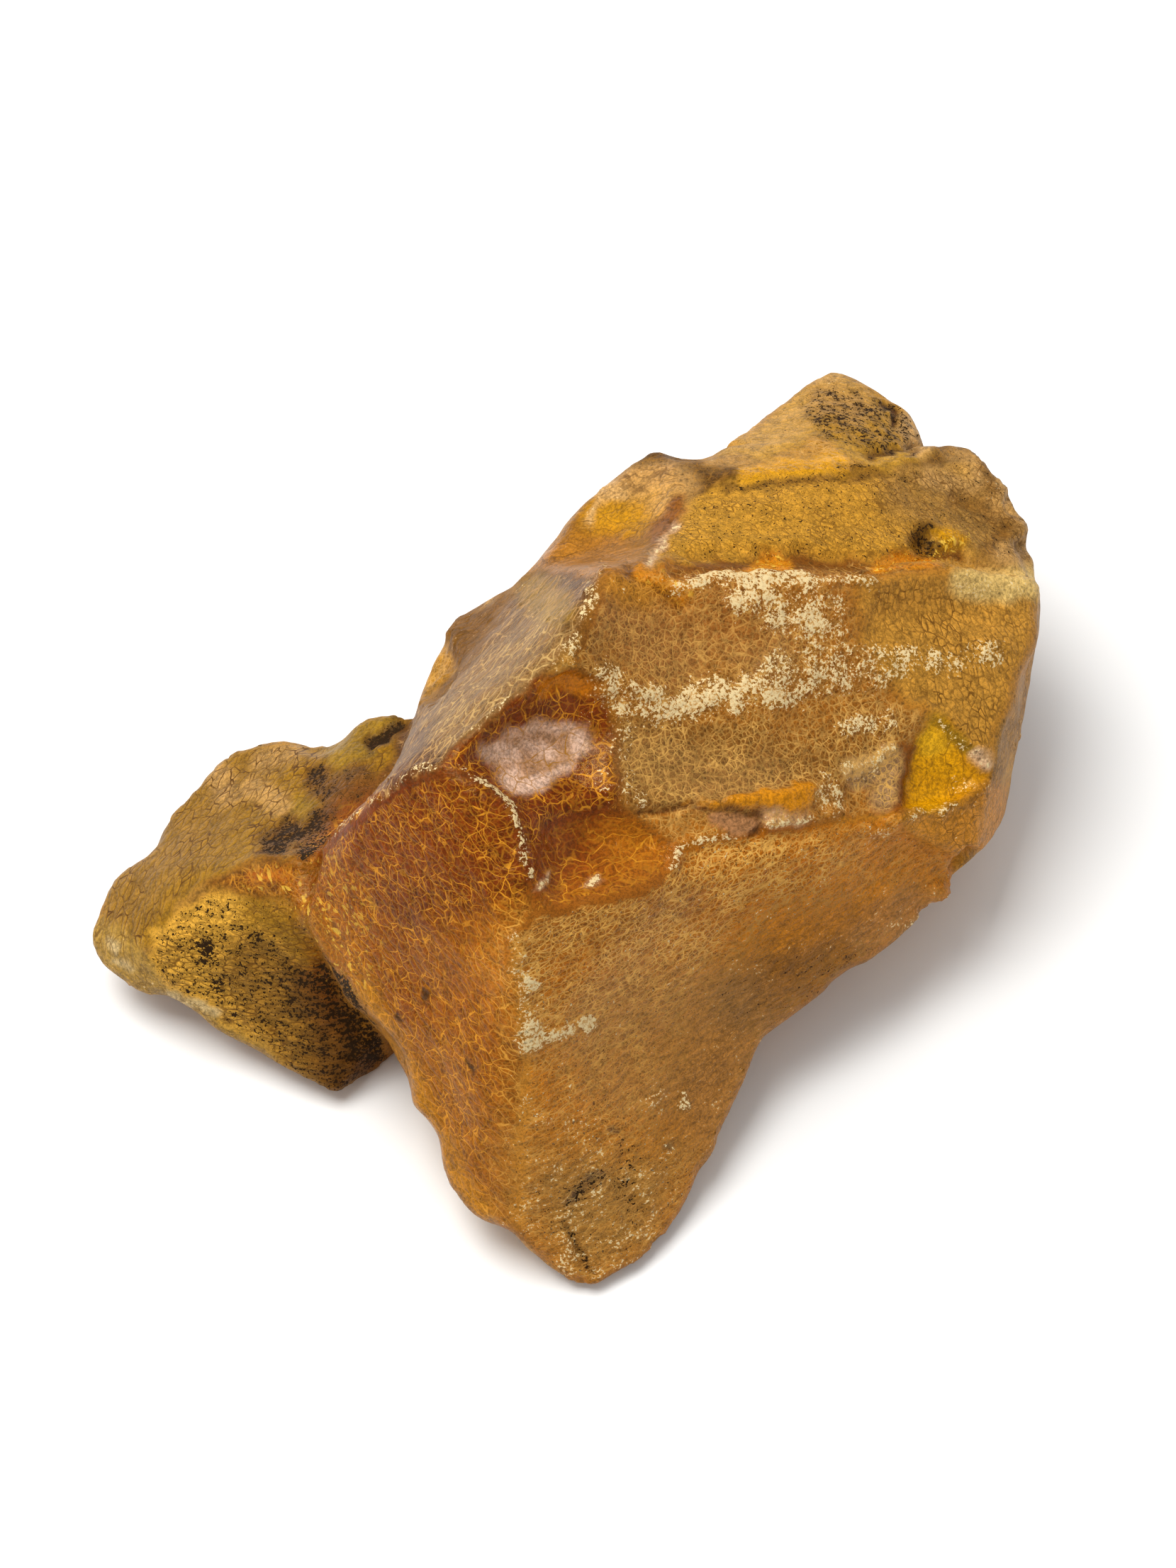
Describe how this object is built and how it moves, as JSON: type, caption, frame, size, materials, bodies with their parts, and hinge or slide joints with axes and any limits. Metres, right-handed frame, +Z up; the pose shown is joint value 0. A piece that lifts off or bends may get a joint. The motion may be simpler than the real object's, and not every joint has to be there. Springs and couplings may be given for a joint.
{
  "type": "raw copal lump",
  "caption": "Rough lump of golden-brown tree resin with a sharp crest, shell-shaped hollows, a tapering foot and a low side tongue, resting on a flat underside.",
  "frame": {"origin": "bottom centre of the lump's box, on the surface it rests on", "axes": "+Z up; +Y from the low foot toward the peak; +X from the low tongue toward the broad end"},
  "size_m": [0.102, 0.1024, 0.0469],
  "materials": {
    "copal": "semi-matt crazed resin, see-through at thin edges"
  },
  "bodies": {
    "root": {"copal_lump": "copal"}
  },
  "joints": []
}
